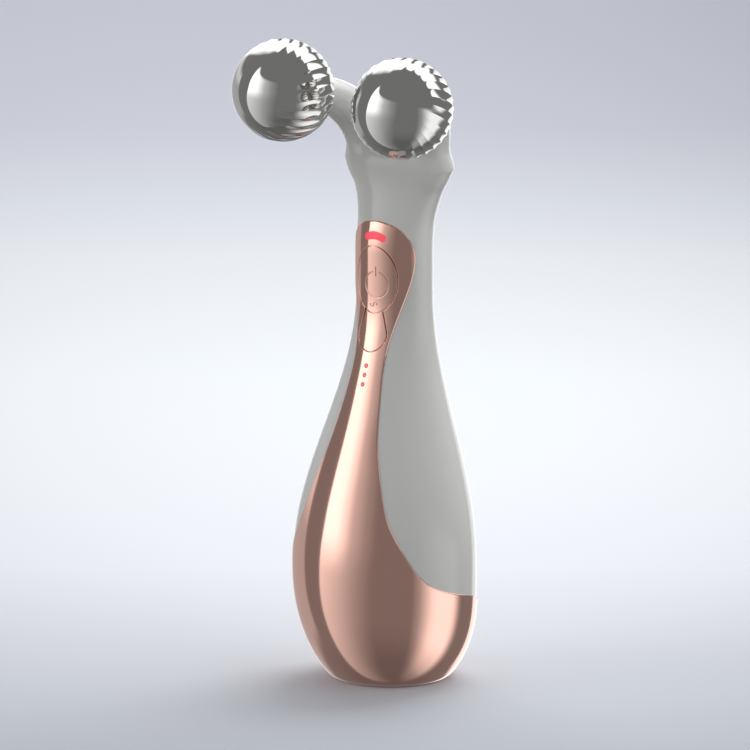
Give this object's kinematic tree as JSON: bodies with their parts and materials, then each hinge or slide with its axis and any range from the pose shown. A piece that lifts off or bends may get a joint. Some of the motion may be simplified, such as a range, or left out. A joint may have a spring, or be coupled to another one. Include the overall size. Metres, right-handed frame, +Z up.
{
  "type": "facial toning device",
  "caption": "Pin-shaped hand-held massager with a metal-look front cover, soft-touch keys and two free-turning faceted balls on a forked head.",
  "frame": {"origin": "centre of the rest face, on the surface that the base stands on", "axes": "+Z up along the handle from the base to the head, -Y the front, where the cover, the keys and the balls face"},
  "size_m": [0.0746, 0.0655, 0.1977],
  "materials": {
    "rose_metal": "satin",
    "key_metal": "satin",
    "white_shell": "gloss",
    "base_plastic": "matte",
    "foot_rubber": "matte",
    "seal_rubber": "matte",
    "steel": "satin",
    "frame_plastic": "matte",
    "cell_wrap": "satin",
    "foam": "matte",
    "board": "satin",
    "switch_black": "matte",
    "lamp": "gloss",
    "red_lens": "gloss",
    "motor_steel": "satin",
    "weight_metal": "matte",
    "chrome": "polished",
    "hub_plastic": "matte",
    "brass": "satin"
  },
  "bodies": {
    "handle": {"front_cover": "rose_metal", "left_housing": "white_shell", "right_housing": "white_shell", "base_cap": "base_plastic", "foot_pad": "foot_rubber", "charge_socket": "steel", "base_screws": "steel", "inner_frame": "frame_plastic", "frame_screws": "steel", "battery": "cell_wrap", "battery_pad": "foam", "circuit_board": "board", "board_screws": "steel", "power_switch": "switch_black", "mode_switch": "switch_black", "indicator_lamps": "lamp", "status_window": "red_lens", "level_lenses": "red_lens", "motor_can": "motor_steel", "motor_sleeve": "foot_rubber", "left_axle": "steel", "left_clip": "steel", "left_seal": "seal_rubber", "right_axle": "steel", "right_clip": "steel", "right_seal": "seal_rubber"},
    "power_button": {"power_key": "key_metal"},
    "mode_button": {"mode_key": "key_metal"},
    "motor_rotor": {"motor_weight": "weight_metal"},
    "left_roller": {"left_ball": "chrome", "left_hub": "hub_plastic", "left_bush": "brass"},
    "right_roller": {"right_ball": "chrome", "right_hub": "hub_plastic", "right_bush": "brass"}
  },
  "joints": [
    {"name": "left_roller_spin", "type": "hinge", "parent": "handle", "child": "left_roller", "pos_m": [-0.0218, -0.0248, 0.1822], "axis": [-0.2532, -0.9448, 0.2079], "continuous": true},
    {"name": "right_roller_spin", "type": "hinge", "parent": "handle", "child": "right_roller", "pos_m": [0.0218, -0.0248, 0.1822], "axis": [0.2532, -0.9448, 0.2079], "continuous": true},
    {"name": "power_key_press", "type": "slide", "parent": "handle", "child": "power_button", "axis": [0, 1, 0], "range_m": [0, 0.0005], "stiffness_N_per_m": 1200, "springref_m": -0.0004},
    {"name": "mode_key_press", "type": "slide", "parent": "handle", "child": "mode_button", "axis": [0, 1, 0], "range_m": [0, 0.0005], "stiffness_N_per_m": 1200, "springref_m": -0.0004},
    {"name": "motor_weight_spin", "type": "hinge", "parent": "handle", "child": "motor_rotor", "pos_m": [0, 0.0066, 0.118], "axis": [0, 0, 1], "continuous": true}
  ]
}
